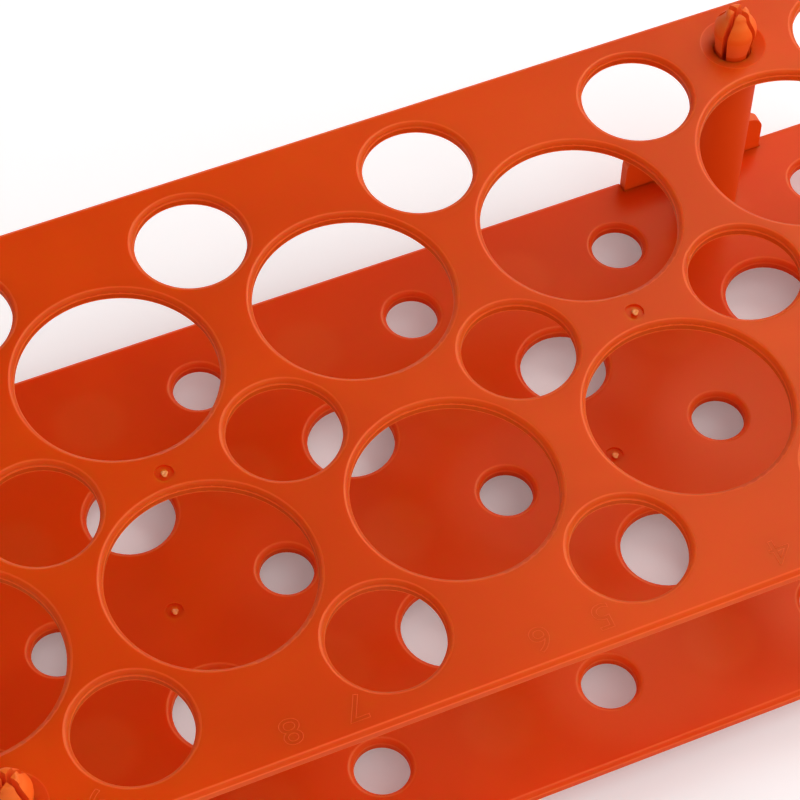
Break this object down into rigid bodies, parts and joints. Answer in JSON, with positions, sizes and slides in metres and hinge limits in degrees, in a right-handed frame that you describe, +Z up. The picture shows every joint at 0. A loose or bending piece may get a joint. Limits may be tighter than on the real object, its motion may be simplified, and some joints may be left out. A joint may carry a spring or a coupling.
{
  "type": "centrifuge tube rack",
  "caption": "Two-deck rack for conical centrifuge tubes: a pierced top plate and a pierced bottom plate held apart by round snap-in legs with broad foot walls.",
  "frame": {"origin": "on the bench, under the middle of the plates", "axes": "+X along the rack to its right end, +Y from the front edge to the back edge, +Z up"},
  "size_m": [0.216, 0.1018, 0.0548],
  "materials": {
    "plates": "satin orange polypropylene",
    "legs": "satin orange polypropylene"
  },
  "bodies": {
    "root": {"top_plate": "plates", "bottom_plate": "plates", "leg_front_left": "legs", "leg_front_right": "legs", "leg_back_left": "legs", "leg_back_right": "legs"}
  },
  "joints": []
}
